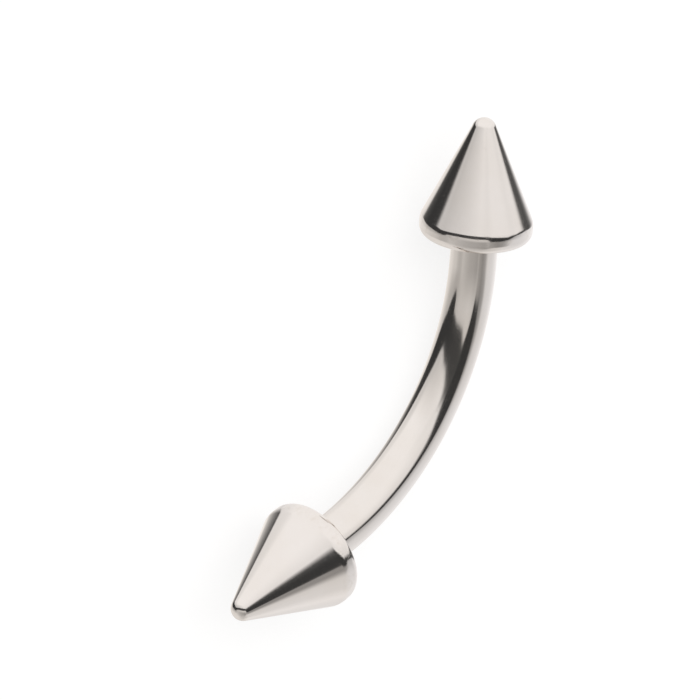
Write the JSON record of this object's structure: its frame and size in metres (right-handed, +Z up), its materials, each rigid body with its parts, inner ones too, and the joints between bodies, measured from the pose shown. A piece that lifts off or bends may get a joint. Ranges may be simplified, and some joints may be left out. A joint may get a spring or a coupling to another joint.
{
  "type": "curved eyebrow barbell",
  "caption": "Curved steel barbell for a piercing: a bent round bar with a pointed screw-in cone at each end, lying on its rims and the middle of its bar.",
  "frame": {"origin": "centre of the bounding box at its base, on the surface that the jewel lies on", "axes": "+X from the left cone to the right cone, +Y from the hollow side of the bend to its crown, +Z up. The jewel lies as it would by itself, with the crown of the bend tilted down"},
  "size_m": [0.0142, 0.0038, 0.0029],
  "materials": {
    "bar_steel": "mirror-polished surgical steel, unplated, with fine buffing marks along the bend",
    "cone_steel": "mirror-polished surgical steel, unplated, with fine turning marks round the axis"
  },
  "bodies": {
    "bar": {"curved_bar": "bar_steel"},
    "left_end": {"left_cone": "cone_steel"},
    "right_end": {"right_cone": "cone_steel"}
  },
  "joints": [
    {"name": "left_cone_out", "type": "slide", "parent": "bar", "child": "left_end", "axis": [-0.8153, -0.5172, 0.2603], "range_m": [0, 0.0024]},
    {"name": "right_cone_out", "type": "slide", "parent": "bar", "child": "right_end", "axis": [0.8153, -0.5172, 0.2603], "range_m": [0, 0.0024]}
  ]
}
